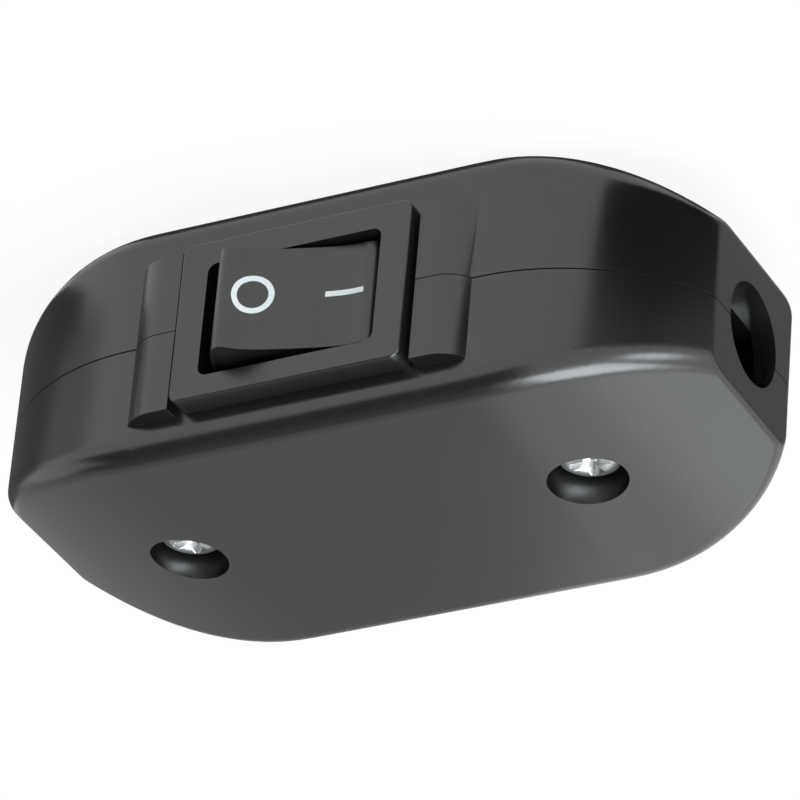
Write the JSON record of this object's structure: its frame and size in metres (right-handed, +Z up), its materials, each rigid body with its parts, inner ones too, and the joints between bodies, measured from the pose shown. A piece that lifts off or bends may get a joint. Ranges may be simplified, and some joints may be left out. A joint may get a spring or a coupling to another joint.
{
  "type": "inline cord switch",
  "caption": "Black in-line cord switch: a moulded two-half housing with a snap-in rocker between finger-guard ribs, and a round cord hole in each flat end.",
  "frame": {"origin": "centre of the base half's plain face, under the middle of the housing", "axes": "+X along the cord, -Y out of the rocker's face, +Z up from the plain face to the face with the screw wells"},
  "size_m": [0.065, 0.0376, 0.0227],
  "materials": {
    "housing_plastic": "semi-gloss, moulded",
    "switch_plastic": "satin, moulded",
    "rocker_plastic": "satin, moulded",
    "screw_steel": "zinc plated",
    "terminal_brass": "stamped",
    "contact_silver": "silver contact face"
  },
  "bodies": {
    "housing": {"base_half": "housing_plastic", "cover_half": "housing_plastic", "housing_screws": "screw_steel", "switch_frame": "switch_plastic", "fixed_contact": "contact_silver", "common_terminal": "terminal_brass", "load_terminal": "terminal_brass", "terminal_screws": "screw_steel", "clamp_plates": "screw_steel"},
    "rocker": {"rocker": "rocker_plastic", "plunger_spring": "screw_steel"},
    "plunger": {"plunger": "switch_plastic"},
    "contact_lever": {"contact_lever": "terminal_brass", "moving_contact": "contact_silver"}
  },
  "joints": [
    {"name": "rocker_tilt", "type": "hinge", "parent": "housing", "child": "rocker", "pos_m": [0, -0.0165, 0.0122], "axis": [0, 0, 1], "range_deg": [0, 33]},
    {"name": "contact_tilt", "type": "hinge", "parent": "housing", "child": "contact_lever", "pos_m": [0, -0.00844, 0.0122], "axis": [0, 0, 1], "range_deg": [-20.5, 0]},
    {"name": "plunger_slide", "type": "slide", "parent": "rocker", "child": "plunger", "axis": [-0.284, -0.9588, 0], "range_m": [0, 0.0008], "stiffness_N_per_m": 800, "springref_m": -0.001, "deforming": ["plunger_spring"]}
  ],
  "couplings": [
    {"joint": "contact_tilt", "follows": "rocker_tilt", "ratio": -0.606}
  ]
}
